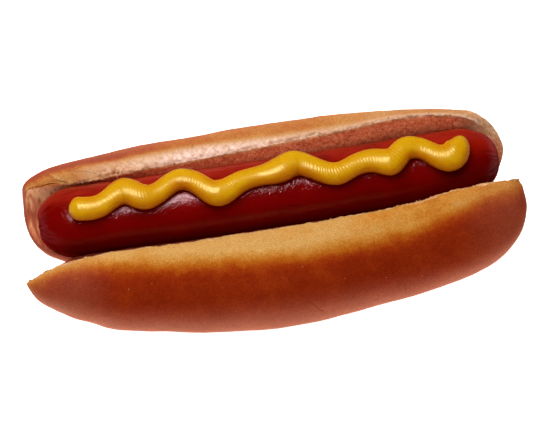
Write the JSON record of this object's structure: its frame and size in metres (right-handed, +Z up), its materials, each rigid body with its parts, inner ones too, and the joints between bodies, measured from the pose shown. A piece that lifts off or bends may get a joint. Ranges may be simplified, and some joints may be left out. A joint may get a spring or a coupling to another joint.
{
  "type": "hot dog",
  "caption": "Hot dog: a side-sliced soft bun opened out, a frankfurter lying in the cut, and a wavy bead of mustard along its top.",
  "frame": {"origin": "middle of the hot dog's footprint, on the surface that it lies on", "axes": "+X along the bun, towards its blunter end; +Y across, from the thick half to the thin half; +Z up"},
  "size_m": [0.1512, 0.0624, 0.04],
  "materials": {
    "bread": "satin",
    "frankfurter": "gloss",
    "mustard": "satin"
  },
  "bodies": {
    "root": {"bun": "bread", "sausage": "frankfurter", "mustard": "mustard"}
  },
  "joints": []
}
